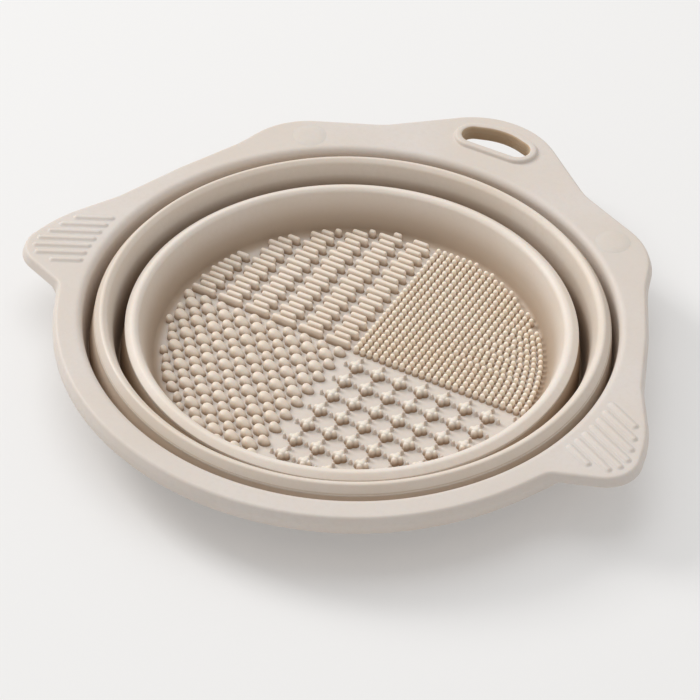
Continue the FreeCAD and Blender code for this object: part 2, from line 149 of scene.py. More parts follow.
def relax(points, rim_share):
    """The slow unevenness that a soft moulding has when it lies on a table.

    The rim's share, 0 to 1, says how far each point follows the rim and not the rings.
    """
    x, y, z = points[:, 0], points[:, 1], points[:, 2]
    theta = np.arctan2(y, x)
    radius = np.hypot(x, y)
    share = smoothstep(*SOFT_RADII, radius) * smoothstep(*SOFT_HEIGHTS, z)
    lean = (0.5 + 0.5 * np.cos(theta - SLACK)) ** 4
    lift = waves(LIFT_WAVES, theta) + rim_share * (RIM_RISE + RIM_TILT * np.cos(theta - FRONT))
    spread = waves(SPREAD_WAVES, theta) + (1 - rim_share) * RING_LEAN * lean
    moved = points.copy()
    moved[:, 2] += share * lift
    moved[:, 0] += share * spread * np.cos(theta)
    moved[:, 1] += share * spread * np.sin(theta)
    return moved


def make_piece(name, verts, faces, material, body=None, soften=True, rim_share=None):
    """A smooth mesh from points in millimetres."""
    points = np.asarray(verts, float)
    if rim_share is None:
        rim_share = 1.0 if body == "rim" else 0.0
    if soften:
        points = relax(points, rim_share)
    mesh = bpy.data.meshes.new(name)
    mesh.from_pydata((points * MM).tolist(), [], faces)
    mesh.validate()
    mesh.polygons.foreach_set("use_smooth", [True] * len(mesh.polygons))
    mesh.materials.append(material)
    mesh.update()
    piece = bpy.data.objects.new(name, mesh)
    bpy.context.scene.collection.objects.link(piece)
    if body:
        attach(piece, body)
    return piece


def recolour(piece, material, faces):
    """Gives some of a piece's faces, by number, their own material."""
    piece.data.materials.append(material)
    for face in faces:
        piece.data.polygons[face].material_index = 1


def rounded(corners, closed=True, step=math.radians(11)):
    """A line through corners given as (x, y, radius), each corner replaced by its arc."""
    count = len(corners)
    line = []
    for index, (x, y, radius) in enumerate(corners):
        here = Vector((x, y))
        at_end = not closed and index in (0, count - 1)
        if radius <= 0 or at_end:
            line.append((x, y))
            continue
        back = (Vector(corners[index - 1][:2]) - here).normalized()
        ahead = (Vector(corners[(index + 1) % count][:2]) - here).normalized()
        inner_angle = back.angle(ahead)
        turn = math.pi - inner_angle
        reach = radius * math.tan(turn / 2)
        middle = (back + ahead).normalized()
        centre = here + middle * (radius / math.sin(inner_angle / 2))
        first = here + back * reach - centre
        last = here + ahead * reach - centre
        sweep = first.angle_signed(last)
        pieces = max(2, math.ceil(turn / step))
        for k in range(pieces + 1):
            arm = first.copy()
            arm.rotate(Matrix.Rotation(-sweep * k / pieces, 2))
            line.append(tuple(centre + arm))
    return line


def divided(line, spacing):
    """The same open line with its long runs cut into shorter ones."""
    out = [line[0]]
    for (x0, y0), (x1, y1) in zip(line, line[1:]):
        pieces = max(1, math.ceil(math.hypot(x1 - x0, y1 - y0) / spacing))
        for k in range(1, pieces + 1):
            out.append((x0 + (x1 - x0) * k / pieces, y0 + (y1 - y0) * k / pieces))
    return out


def lathe(profile, steps=RING_STEPS):
    """Points and faces of an (r, z) loop turned about the bowl axis. Points at r 0 are poles."""
    verts = []
    rows = []
    for radius, z in profile:
        if radius < 1e-6:
            rows.append([len(verts)])
            verts.append((0.0, 0.0, z))
            continue
        rows.append(list(range(len(verts), len(verts) + steps)))
        for k in range(steps):
            a = FULL_TURN * k / steps
            verts.append((radius * math.cos(a), radius * math.sin(a), z))
    faces = []
    count = len(rows)
    for index in range(count):
        one, two = rows[index], rows[(index + 1) % count]
        if len(one) == 1 and len(two) == 1:
            continue
        faces += bridge(one, two)
    return verts, faces


def bridge(one, two):
    """Faces between two closed rows of vertex numbers, either of which may be a pole."""
    count = max(len(one), len(two))
    faces = []
    for k in range(count):
        n = (k + 1) % count
        if len(one) == 1:
            faces.append((one[0], two[n], two[k]))
        elif len(two) == 1:
            faces.append((one[k], one[n], two[0]))
        else:
            faces.append((one[k], one[n], two[n], two[k]))
    return faces


def face_numbers(profile, chosen):
    """Numbers of a lathe's faces that lie between two chosen neighbours of its profile."""
    numbers = []
    start = 0
    for index, (radius, z) in enumerate(profile):
        next_radius, next_z = profile[(index + 1) % len(profile)]
        if radius < 1e-6 and next_radius < 1e-6:
            continue
        if chosen(radius, z) and chosen(next_radius, next_z):
            numbers += range(start, start + RING_STEPS)
        start += RING_STEPS
    return numbers


def belt(discs, grow, spacing):
    """Points of the outline round the discs, clockwise, moved outwards by grow.

    The number of points doesn't depend on grow, so outlines can be joined point to point.
    """
    count = len(discs)
    headings = []
    for index in range(count):
        x1, y1, s1 = discs[index]
        x2, y2, s2 = discs[(index + 1) % count]
        span = math.hypot(x2 - x1, y2 - y1)
        headings.append(math.atan2(y2 - y1, x2 - x1) + math.asin((s2 - s1) / span))
    points = []
    for index, (x, y, signed) in enumerate(discs):
        arrive = headings[index - 1]
        leave = headings[index]
        if signed > 0:
            sweep = -((arrive - leave) % FULL_TURN)
        else:
            sweep = (leave - arrive) % FULL_TURN
        pieces = max(3, math.ceil(abs(sweep * signed) / spacing))
        for k in range(pieces + 1):
            h = arrive + sweep * k / pieces
            points.append((x - math.sin(h) * (signed + grow), y + math.cos(h) * (signed + grow)))
        x2, y2, s2 = discs[(index + 1) % count]
        side = (-math.sin(leave), math.cos(leave))
        last = points[-1]
        ahead = (x2 + side[0] * (s2 + grow), y2 + side[1] * (s2 + grow))
        run = math.hypot(ahead[0] - last[0], ahead[1] - last[1])
        inner = max(1, math.ceil(run / spacing))
        for k in range(1, inner):
            t = k / inner
            points.append((last[0] + (ahead[0] - last[0]) * t, last[1] + (ahead[1] - last[1]) * t))
    return points


def inside(polygon, x, y):
    """Whether points are inside a polygon, by counting crossings."""
    px, py = np.asarray(polygon).T
    qx, qy = np.roll(px, -1), np.roll(py, -1)
    x = np.asarray(x)[:, None]
    y = np.asarray(y)[:, None]
    spans = (py > y) != (qy > y)
    with np.errstate(divide="ignore", invalid="ignore"):
        cross = (qx - px) * (y - py) / (qy - py) + px
    return (spans & (x < cross)).sum(axis=1) % 2 == 1


# ---------------------------------------------------------------- materials

def new_node(tree, kind, **settings):
    node = tree.nodes.new(kind)
    for key, value in settings.items():
        if key in node.inputs:
            node.inputs[key].default_value = value
        else:
            setattr(node, key, value)
    return node


# noise scales per metre, from slow colour drift to the finest grain
DRIFT = 38.0
DULLING = 120.0
RIPPLE = 260.0
MOTTLING = 900.0
SPECKS = 2600.0
GRAIN = 7000.0

# factors on a colour, per channel
WARMER = (0.985, 0.965, 0.935)
PALER = (1.015, 1.02, 1.03)
DUSKIER = (0.955, 0.945, 0.93)
LINT = (1.16, 1.16, 1.16)

# bump depths in metres, and the width over which the cup's floor colour gives way to the wall's
# painted shade
GRAIN_DEPTH = 0.00003
RIPPLE_DEPTH = 0.0002
FLOOR_FADE = (FIELD - 2.2, FIELD + 0.1)


def tinted(colour, factors):
    return tuple(min(1.0, c * f) for c, f in zip(colour, factors))


def silicone(name, colour, shade_colour, shade_heights, floor=None, roughness=0.46, sheen=0.06,
             subsurface=0.2, depth=0.0010, grain=1.0):
    """Satin moulded silicone: slow colour drift, fine mottling, specks, grain and dulling.

    The colour darkens from the top down to a shade colour over a span of heights: painted shade on the
    lower parts, in gaps and hollows.
    A floor colour, where given, takes over inside the cup's wall.
    """
    material = bpy.data.materials.new(name)
    material.use_nodes = True
    tree = material.node_tree
    link = tree.links.new
    shader = tree.nodes["Principled BSDF"]
    shader.inputs["Subsurface Weight"].default_value = subsurface
    shader.inputs["Subsurface Radius"].default_value = (1.0, 0.62, 0.38)
    shader.inputs["Subsurface Scale"].default_value = depth
    shader.inputs["IOR"].default_value = 1.41
    shader.inputs["Sheen Weight"].default_value = sheen
    shader.inputs["Sheen Roughness"].default_value = 0.5
    shader.inputs["Sheen Tint"].default_value = (1.0, 0.97, 0.93, 1.0)

    place = new_node(tree, "ShaderNodeTexCoord").outputs["Object"]

    def noise(scale, detail=3.0, rough=0.5):
        node = new_node(tree, "ShaderNodeTexNoise", Scale=scale, Detail=detail, Roughness=rough)
        link(place, node.inputs["Vector"])
        return node.outputs["Fac"]

    def mixed(factor, one, two):
        node = tree.nodes.new("ShaderNodeMix")
        node.data_type = "RGBA"
        link(factor, node.inputs["Factor"])
        slot_a = [s for s in node.inputs if s.name == "A" and s.type == "RGBA"][0]
        slot_b = [s for s in node.inputs if s.name == "B" and s.type == "RGBA"][0]
        for socket, value in ((slot_a, one), (slot_b, two)):
            if isinstance(value, tuple):
                socket.default_value = (*value, 1.0)
            else:
                link(value, socket)
        return [s for s in node.outputs if s.type == "RGBA"][0]

    def spread(source, low, high, out_low, out_high, smooth=False):
        node = tree.nodes.new("ShaderNodeMapRange")
        ends = {"From Min": low, "From Max": high, "To Min": out_low, "To Max": out_high}
        for key, value in ends.items():
            node.inputs[key].default_value = value
        if smooth:
            node.interpolation_type = "SMOOTHSTEP"
        link(source, node.inputs["Value"])
        return node.outputs["Result"]

    def mottled(base, dusk):
        return mixed(spread(noise(MOTTLING, 4.0, 0.6), 0.45, 0.75, 0.0, 0.6), base, dusk)

    wandering = spread(noise(DRIFT, 2.0), 0.35, 0.65, 0.0, 1.0)
    drift = mixed(wandering, tinted(colour, WARMER), tinted(colour, PALER))
    speck = spread(noise(SPECKS, 1.0), 0.73, 0.77, 0.0, 0.45)
    flecked = mixed(speck, mottled(drift, tinted(colour, DUSKIER)), tinted(colour, LINT))
    # painted shade: below the given heights the colour darkens towards the shade colour
    height = tree.nodes.new("ShaderNodeSeparateXYZ")
    link(place, height.inputs["Vector"])
    unshaded_share = spread(height.outputs["Z"], shade_heights[0] * MM, shade_heights[1] * MM, 0.0, 1.0, smooth=True)
    with_painted_shade = mixed(unshaded_share, shade_colour, flecked)
    # the cup's floor keeps its own colour, free of the painted shade, which starts at the foot of the
    # cup's wall
    if floor:
        flat = new_node(tree, "ShaderNodeVectorMath", operation="MULTIPLY")
        flat.inputs[1].default_value = (1.0, 1.0, 0.0)
        link(place, flat.inputs[0])
        radius = new_node(tree, "ShaderNodeVectorMath", operation="LENGTH")
        link(flat.outputs["Vector"], radius.inputs[0])
        start, end = FLOOR_FADE
        outwards = spread(radius.outputs["Value"], start * MM, end * MM, 0.0, 1.0, smooth=True)
        with_painted_shade = mixed(outwards, mottled(floor, tinted(floor, DUSKIER)), with_painted_shade)
    link(with_painted_shade, shader.inputs["Base Color"])

    dulling = spread(noise(DULLING, 4.0, 0.6), 0.3, 0.7, roughness - 0.05, roughness + 0.06)
    link(dulling, shader.inputs["Roughness"])

    fine = new_node(tree, "ShaderNodeBump", Strength=0.35 * grain, Distance=GRAIN_DEPTH)
    link(noise(GRAIN, 2.0), fine.inputs["Height"])
    slow = new_node(tree, "ShaderNodeBump", Strength=0.25 * grain, Distance=RIPPLE_DEPTH)
    link(noise(RIPPLE, 3.0), slow.inputs["Height"])
    link(fine.outputs["Normal"], slow.inputs["Normal"])
    link(slow.outputs["Normal"], shader.inputs["Normal"])
    return material


# All these are one moulded silicone. Each copy holds painted shade: its colour darkens towards the
# second colour below the given heights. The rings and cup are painted lighter than the flange for the
# light on their crests.
flange_silicone = silicone(
    "silicone_flange", (0.69, 0.63, 0.58), (0.48, 0.35, 0.24), (7.5, 14.4), roughness=0.48, sheen=0.08)
# the slot's own wall: a darker copy, painted shade inside the hole
slot_shade_silicone = silicone(
    "silicone_slot", (0.54, 0.41, 0.28), (0.40, 0.28, 0.17), (13.0, 16.4),
    sheen=0.0, subsurface=0.3, depth=0.0012)
ring_silicone = silicone(
    "silicone_rings", (0.75, 0.67, 0.59), (0.33, 0.23, 0.15), (4.5, 15.9), roughness=0.40)
cup_silicone = silicone(
    "silicone_cup", (0.80, 0.73, 0.66), (0.45, 0.345, 0.255), (3.6, 13.0),
    floor=(0.70, 0.635, 0.575), roughness=0.42)
# the outer sides of the walls and the cup's underside: a darker copy, painted shade under the flange
# and rings
outer_shade_silicone = silicone(
    "silicone_outer_walls", (0.66, 0.59, 0.52), (0.60, 0.53, 0.455), (0.0, 12.0))
# the fold webs: a darker copy that darkens further downwards, painted shade in the gaps between the
# rings
web_shade_silicone = silicone(
    "silicone_webs", (0.62, 0.51, 0.41), (0.40, 0.27, 0.17), (7.0, 13.8), sheen=0.0)
# the nubs: paler than the flange, partly their own cream tone, partly painted light on their tops;
# their sides and the floor between them darken to painted shade
pin_silicone = silicone(
    "silicone_pins", (0.97, 0.87, 0.75), (0.42, 0.29, 0.19), (2.8, 4.1),
    roughness=0.36, depth=0.0005, grain=0.8)
cross_silicone = silicone(
    "silicone_crosses", (0.87, 0.78, 0.68), (0.32, 0.21, 0.13), (2.9, 4.7),
    roughness=0.38, depth=0.0005, grain=0.8)
nub_silicone = silicone(
    "silicone_nubs", (0.86, 0.765, 0.665), (0.36, 0.25, 0.165), (2.7, 4.25),
    roughness=0.38, depth=0.0005, grain=0.8)


# ---------------------------------------------------------------- rim

def edge_depth(points):
    """How far below the flange's underside the outer edge reaches: only on the plain rim."""
    radius = np.hypot(points[:, 0], points[:, 1])
    return (FLANGE_UNDER - LIP_BOTTOM) * (1 - smoothstep(RIM + 0.1, RIM + 1.6, radius))


def edge_profile():
    """The outer edge as (grow, height above the underside, whether it follows the lip)."""
    thick = TOP - FLANGE_UNDER
    foot = EDGE_FOOT_ROUND
    lip = LIP_WIDTH
    shoulder = [(-2.0, thick, 0), (-0.75, thick - 0.02, 0.9), (-0.12, 0.8, 1.2), (-0.02, 0.45, 0)]
    line = [(-2.9, thick, 0), (-2.4, thick, 0)]
    line += [(grow, height, 0) for grow, height in rounded(shoulder, closed=False)]
    for k in range(5):
        a = math.pi / 2 * k / 4
        line.append((foot * math.cos(a) - foot, foot - foot * math.sin(a), 1))
    line += [(0.3 - lip, 0.0, 1), (0.1 - lip, 0.06, 1), (-lip, 0.3, 0.6)]
    line += [(-lip - 0.08, 0.0, 0), (-lip - 0.4, 0.0, 0)]
    return line


def slot_profile():
    """The slot's wall and bead as (grow, z), from the top face through to the underside."""
    bead_top = TOP + BEAD_RISE
    bead_bottom = FLANGE_UNDER - BEAD_DROP
    return rounded([
        (SLOT_FLAT, TOP, 0),
        (BEAD_WIDTH + 0.4, TOP, 0.35),
        (BEAD_WIDTH, bead_top, 0.75),
        (0.0, bead_top, 0.75),
        (0.0, SLOT_PARTING + 0.15, 0.1),
        (0.07, SLOT_PARTING, 0.04),
        (0.0, SLOT_PARTING - 0.15, 0.1),
        (0.0, bead_bottom, 0.5),
        (BEAD_WIDTH, bead_bottom, 0.4),
        (BEAD_WIDTH + 0.25, FLANGE_UNDER, 0.2),
        (SLOT_FLAT, FLANGE_UNDER, 0),
    ], closed=False, step=math.radians(14))


def rim_inner_profile():
    """From the flange's top, down the rim wall, round the toe and up to the underside."""
    return rounded([
        (RIM_OPENING + 2.0, TOP, 0),
        (RIM_OPENING, TOP, 1.8),
        (60.9, 12.5, 3.0),
        (59.9, RIM_TOE_TOP + 0.1, 0.2),
        (RIM_TOE_INNER, RIM_TOE_TOP, 0.25),
        (RIM_TOE_INNER, RIM_TOE_BOTTOM, 0.45),
        (60.8, RIM_TOE_BOTTOM, 0.5),
        (61.2, RIM_TOE_TOP, 0.8),
        (RIM_WALL_OUTER, FLANGE_UNDER, 0.5),
        (RIM_WALL_OUTER + 0.7, FLANGE_UNDER, 0),
    ], closed=False)


def fill(loops, rows, z, verts, upwards, polygon, hole, inner_radius):
    """Triangles over the flat of the flange, between the loops, with points in between."""
    flat, numbers, edges = [], [], []
    for loop, row in zip(loops, rows):
        base = len(flat)
        flat += [Vector(p) for p in loop]
        numbers += row
        edges += [(base + k, base + (k + 1) % len(loop)) for k in range(len(loop))]
    cell = FILL_CELL
    boundary = np.array([tuple(p) for p in flat])
    reach = int(FILL_REACH / cell)
    grid = np.array([(i * cell + 0.5 * cell * (j % 2), j * cell)
                     for j in range(-reach, reach) for i in range(-reach, reach)])
    radius = np.hypot(grid[:, 0], grid[:, 1])
    keep = (radius > inner_radius) & (radius < FILL_REACH)
    grid = grid[keep]
    keep = inside(polygon, grid[:, 0], grid[:, 1]) & ~inside(hole, grid[:, 0], grid[:, 1])
    grid = grid[keep]
    gap = np.array([np.min(np.hypot(*(boundary - g).T)) for g in grid])
    grid = grid[gap > FILL_GAP]
    flat += [Vector(g) for g in grid]
    out = delaunay_2d_cdt(flat, edges, [], 0, 1e-5)
    points, _, triangles, sources = out[0], out[1], out[2], out[3]
    index = []
    for point, source in zip(points, sources):
        known = [s for s in source if s < len(numbers)]
        if known:
            index.append(numbers[known[0]])
        else:
            index.append(len(verts))
            verts.append((point.x, point.y, z))
    centres = np.array([np.mean([tuple(points[v]) for v in t], axis=0) for t in triangles])
    radius = np.hypot(centres[:, 0], centres[:, 1])
    keep = inside(polygon, *centres.T) & ~inside(hole, *centres.T)
    keep &= radius > inner_radius - FILL_SLACK
    faces = []
    for triangle, use in zip(triangles, keep):
        if use:
            a, b, c = (index[v] for v in triangle)
            faces.append((a, b, c) if upwards else (a, c, b))
    return faces


def make_rim_shell():
    verts, faces = [], []

    def add_row(points, heights):
        start = len(verts)
        verts.extend((x, y, z) for (x, y), z in zip(points, heights))
        return list(range(start, len(verts)))

    outline = np.array(belt(FLANGE_DISCS, 0.0, OUTLINE_SPACING))
    depth = edge_depth(outline)
    outer_rows = []
    for grow, height, follows in edge_profile():
        points = belt(FLANGE_DISCS, grow, OUTLINE_SPACING)
        outer_rows.append(add_row(points, FLANGE_UNDER + height - depth * follows))
    for one, two in zip(outer_rows, outer_rows[1:]):
        faces.extend(bridge(one, two))

    slot_line = slot_profile()
    slot_rows = []
    for grow, z in slot_line:
        points = belt(SLOT_DISCS, grow, SLOT_SPACING)
        slot_rows.append(add_row(points, [z] * len(points)))
    slot_faces = []
    grows = [grow for grow, z in slot_line]
    for one, two, grow_one, grow_two in zip(slot_rows, slot_rows[1:], grows, grows[1:]):
        if max(grow_one, grow_two) < SLOT_WALL:
            slot_faces += range(len(faces), len(faces) + len(one))
        faces.extend(bridge(two, one))

    turns = [-FULL_TURN * k / RING_STEPS for k in range(RING_STEPS)]
    inner_rows = []
    for radius, z in rim_inner_profile():
        points = [(radius * math.cos(a), radius * math.sin(a)) for a in turns]
        inner_rows.append(add_row(points, [z] * RING_STEPS))
    for one, two in zip(inner_rows, inner_rows[1:]):
        faces.extend(bridge(two, one))

    for end, z, upwards in ((0, TOP, True), (-1, FLANGE_UNDER, False)):
        rows = [outer_rows[end], slot_rows[end], inner_rows[end]]
        loops = [[verts[v][:2] for v in row] for row in rows]
        inner_radius = math.hypot(*loops[2][0])
        faces.extend(fill(loops, rows, z, verts, upwards, loops[0], loops[1], inner_radius))
    piece = make_piece("rim_shell", verts, faces, flange_silicone, "rim")
    # the slot's wall takes the darker copy: painted shade inside the hole
    recolour(piece, slot_shade_silicone, slot_faces)
    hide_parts("rim_flange", "rim_wall", "hang_slot_bead")


def make_rim_lip():
    """The lip's ring, which shows only where it runs on under the lobes."""
    outer = RIM - 0.04
    inner = RIM - LIP_WIDTH + 0.03
    root = FLANGE_UNDER + 0.3
    foot = LIP_BOTTOM + 0.03
    profile = rounded([(outer, root, 0.1), (outer, foot, 0.4), (inner, foot, 0.3), (inner, root, 0.1)])
    piece = make_piece("rim_lip_ring", *lathe(profile), flange_silicone, "rim")
    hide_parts("rim_lip")


# ---------------------------------------------------------------- grip ribs and ear pads

def pillow(outline_at, heights):
    """A closed low mound: rows of outlines from its foot up, closed by a point each end."""
    verts, rows = [], []
    for grow, z in heights:
        points = outline_at(grow)
        rows.append(list(range(len(verts), len(verts) + len(points))))
        verts += [(x, y, z) for x, y in points]
    faces = []
    for one, two in zip(rows, rows[1:]):
        faces += bridge(one, two)
    for row, flip in ((rows[0], True), (rows[-1], False)):
        ring = np.array([verts[v] for v in row])
        centre = len(verts)
        verts.append(tuple(ring.mean(axis=0)))
        faces += bridge([centre], row) if flip else bridge(row, [centre])
    return verts, faces


def stadium(ax, ay, bx, by, radius, ends=9):
    """Points round a bar from a to b, anticlockwise."""
    heading = math.atan2(by - ay, bx - ax)
    points = []
    for cx, cy, start in ((bx, by, heading - math.pi / 2), (ax, ay, heading + math.pi / 2)):
        for k in range(ends + 1):
            a = start + math.pi * k / ends
            points.append((cx + radius * math.cos(a), cy + radius * math.sin(a)))
    return points


def merge(parts):
    """One list of points and faces from several."""
    verts, faces = [], []
    for part_verts, part_faces in parts:
        base = len(verts)
        verts += part_verts
        faces += [tuple(base + v for v in face) for face in part_faces]
    return verts, faces


RIB_HALF = 0.62
RIB_PITCH = 2.65
RIB_FIRST = 14.6
RIB_ANGLE = math.radians(27.4)
RIB_INNER_RADIUS = 64.9
RIB_MARGIN = 3.3
TAB_SIDE, TAB = RIGHT_DISCS[5:7]
RIBS_PER_TAB = 7
# rows up a rib and up an ear mark, as (grow or radius, z)
RIB_ROWS = [(0.50, TOP - 0.25), (0.46, TOP - 0.02), (0.30, TOP + 0.03), (0.14, TOP + 0.10),
            (0.0, TOP + 0.20), (-0.14, TOP + 0.31), (-0.30, TOP + 0.40), (-0.46, TOP + 0.44)]
EAR_ROWS = [(4.4, TOP - 0.2), (4.2, TOP - 0.01), (3.9, TOP + 0.02), (3.5, TOP + 0.07),
            (3.1, TOP + 0.13), (2.6, TOP + 0.18), (1.9, TOP + 0.21), (1.0, TOP + 0.22)]
EAR_PLACE = (41.0, 53.0)
EAR_STEPS = 72


def rib_line(index):
    """Outer and inner end of a right-hand rib."""
    inwards = Vector((-math.cos(RIB_ANGLE), math.sin(RIB_ANGLE)))
    across = Vector((math.sin(RIB_ANGLE), math.cos(RIB_ANGLE)))
    offset = RIB_FIRST + index * RIB_PITCH
    inner = across * offset - inwards * math.sqrt(RIB_INNER_RADIUS ** 2 - offset ** 2)
    tab, side = Vector(TAB[:2]), Vector(TAB_SIDE[:2])
    gap = tab - side
    heading = math.atan2(gap.y, gap.x) + math.asin((TAB[2] - TAB_SIDE[2]) / gap.length)
    outward = Vector((-math.sin(heading), math.cos(heading)))
    centre, edge = tab, TAB[2] - RIB_MARGIN
    if offset - tab.dot(across) > edge * outward.dot(across):
        centre, edge = side, TAB_SIDE[2] - RIB_MARGIN
    off_centre = offset - centre.dot(across)
    reach = math.sqrt(edge ** 2 - off_centre ** 2)
    return centre + across * off_centre - inwards * reach, inner


def make_grip_ribs(side, sign):
    """Seven soft ribs that rise out of the tab."""
    parts = []
    for index in range(RIBS_PER_TAB):
        outer, inner = rib_line(index)
        ends = (sign * outer.x, outer.y, sign * inner.x, inner.y)
        parts.append(pillow(lambda grow, e=ends: stadium(*e, RIB_HALF + grow), RIB_ROWS))
    piece = make_piece(side + "_tab_ribs", *merge(parts), flange_silicone, "rim")
    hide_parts(side + "_grip_ribs")


def make_ear_pad(side, sign):
    """A round mark that barely rises from the ear."""
    x, y = sign * EAR_PLACE[0], EAR_PLACE[1]
    turns = [FULL_TURN * k / EAR_STEPS for k in range(EAR_STEPS)]

    def circle(radius):
        return [(x + radius * math.cos(a), y + radius * math.sin(a)) for a in turns]

    piece = make_piece(side + "_ear_mark", *pillow(circle, EAR_ROWS), flange_silicone, "rim")
    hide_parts(side + "_ear_pad")


# ---------------------------------------------------------------- middle ring, cup and folds

def make_middle_ring():
    profile = rounded([
        (57.35, MIDDLE_FOLD - 0.2, 0.3),
        (58.38, MIDDLE_FOLD - 0.2, 0.1),
        (MIDDLE_OUTER, 14.6, 0.25),
        (MIDDLE_PEAK, 16.95, 0.75),
        (55.3, 15.9, 1.3),
        (54.2, 12.6, 5.0),
        (53.35, TOE_TOP + 0.2, 0.5),
        (MIDDLE_TOE_INNER, TOE_TOP, 0.25),
        (MIDDLE_TOE_INNER, TOE_BOTTOM, 0.45),
        (54.6, TOE_BOTTOM, 0.6),
        (MIDDLE_TOE_OUTER, TOE_TOP, 0.8),
        (56.8, MIDDLE_FOLD - 1.6, 0.8),
    ])
    profile = profile[::-1]

    # a slanting line within the wall parts its outer side from its inner side
    def on_outside(radius, z):
        return z < MIDDLE_FOLD - 0.1 and radius > 54.2 + 0.19 * z

    piece = make_piece("middle_ring_shell", *lathe(profile), ring_silicone, "middle_ring")
    # the outer side takes the darker copy: painted shade under the rim
    recolour(piece, outer_shade_silicone, face_numbers(profile, on_outside))
    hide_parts("middle_ring_wall", "middle_ring_crest")


def make_cup():
    profile = rounded([
        (0.0, 0.0, 0),
        (CUP_FOOT, 0.0, 0.8),
        (48.2, 5.7, 4.0),
        (50.0, CUP_FOLD - 0.6, 0.3),
        (50.3, CUP_FOLD - 0.2, 0.1),
        (51.42, CUP_FOLD - 0.2, 0.1),
        (CUP_OUTER, 12.3, 0.3),
        (CUP_PEAK, 13.65, 1.2),
        (48.3, 12.7, 1.3),
        (46.5, 6.3, 7.0),
        (45.1, FLOOR, 1.5),
        (0.0, FLOOR, 0),
    ], closed=False)
    underside = divided(profile[:2], FLOOR_RUN)
    upper_side = divided(profile[-2:], FLOOR_RUN)
    profile = underside[:-1] + profile[1:-1] + upper_side[1:]

    # the underside, and the wall up to the fold outside a slanting line within it
    def on_outside(radius, z):
        return z < 1.0 or (z < CUP_FOLD - 0.1 and radius > 46.0 + 0.3 * z)

    piece = make_piece("cup_shell", *lathe(profile), cup_silicone, "cup")
    # the underside and outer wall take the darker copy: painted shade under the rings
    recolour(piece, outer_shade_silicone, face_numbers(profile, on_outside))
    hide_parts("floor_plate", "cup_wall", "cup_crest")


WEB_THICKNESS = 0.96
WEB_BOW = 0.18
WEB_ROWS = 32
# how far a web runs on into the crest above and the toe below, and stands off its inner radius
WEB_INTO_CREST = 0.6
WEB_INTO_TOE = 0.45
WEB_STANDOFF = 0.02


def make_web(name, node, inner, splay, fold, toe, body_b):
    """A thin fold from a crest down to the next ring's toe, sunk a little into both."""
    top = fold + WEB_INTO_CREST
    bottom = toe - WEB_INTO_TOE
    run = fold - toe

    def side(offset):
        points = []
        for k in range(WEB_ROWS + 1):
            z = top + (bottom - top) * k / WEB_ROWS
            t = (fold - z) / run
            bow = WEB_BOW * math.sin(math.pi * min(1.0, max(0.0, t)))
            points.append((inner + offset + splay * t + bow, z))
        return points

    verts, faces = lathe(side(WEB_STANDOFF) + side(WEB_THICKNESS)[::-1], WEB_STEPS)
    share = np.clip((fold - np.array(verts)[:, 2]) / run, 0.0, 1.0) if body_b == "rim" else 0.0
    piece = make_piece(name, verts, faces, web_shade_silicone, rim_share=share)
    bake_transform(piece)
    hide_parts(node)


# ---------------------------------------------------------------- nubs

draw = random.Random(11)

# the most rows and columns of nubs, more than fit in the field
PIN_GRID = (26, 27)
BAR_GRID = (24, 7)
EGG_GRID = (19, 11)
CROSS_GRID = (18, 18)

# how far a nub may stray along X and Y
PIN_JITTER = 0.03
BAR_JITTER = (0.04, 0.03)
EGG_JITTER = (0.05, 0.04)
CROSS_JITTER = 0.04

FIELD_MARGIN = 0.3
PIN_SIDES = 14
DOME_SIDES = 20


def in_field(x, y, half_length, width):
    """Whether a nub of this half length and width lies within the floor's field."""
    corner = math.hypot(abs(x) + half_length, abs(y) + width * 0.5)
    return corner < FIELD - FIELD_MARGIN


def nub_rings(foot, crown):
    """Rows up a nub: the foot's heights are over the floor, the crown's are below the nubs' top."""
    low = [(size, FLOOR + rise) for size, rise in foot]
    high = [(size, NUB_TOP - drop) for size, drop in crown]
    return low + high


def column(x, y, rings, sides):
    """A small turned nub from (radius, z) rings, closed top and bottom."""
    verts, rows = [], []
    turn = draw.uniform(0, 1)
    for radius, z in rings:
        rows.append(list(range(len(verts), len(verts) + sides)))
        for k in range(sides):
            a = FULL_TURN * (k + turn) / sides
            verts.append((x + radius * math.cos(a), y + radius * math.sin(a), z))
    faces = []
    for one, two in zip(rows, rows[1:]):
        faces += bridge(one, two)
    for row, z, flip in ((rows[0], rings[0][1], True), (rows[-1], rings[-1][1] + 0.02, False)):
        verts.append((x, y, z))
        faces += bridge([len(verts) - 1], row) if flip else bridge(row, [len(verts) - 1])
    return verts, faces


PIN_PITCH = 1.7
PIN_FIRST_X = 0.95
PIN_FIRST_Y = 1.4
PIN_MARGIN = 0.95
PIN_ROW_MARGIN = 1.8
# a pin's rings above this height are its crown, which stands a little higher or lower
PIN_CROWN = 4.0
PIN_RINGS = nub_rings(
    [(0.80, -0.3), (0.78, 0.02), (0.66, 0.16), (0.61, 0.4)],
    [(0.585, 0.65), (0.55, 0.42), (0.46, 0.2), (0.31, 0.06), (0.13, 0.01)])

# the fan of spread pins: the rows it reaches, and the slanting line on which it starts
FAN_TOP = 27.0
FAN_LEAST = 13.0
FAN_OFFSET = 9.4
FAN_SLOPE = 1.26


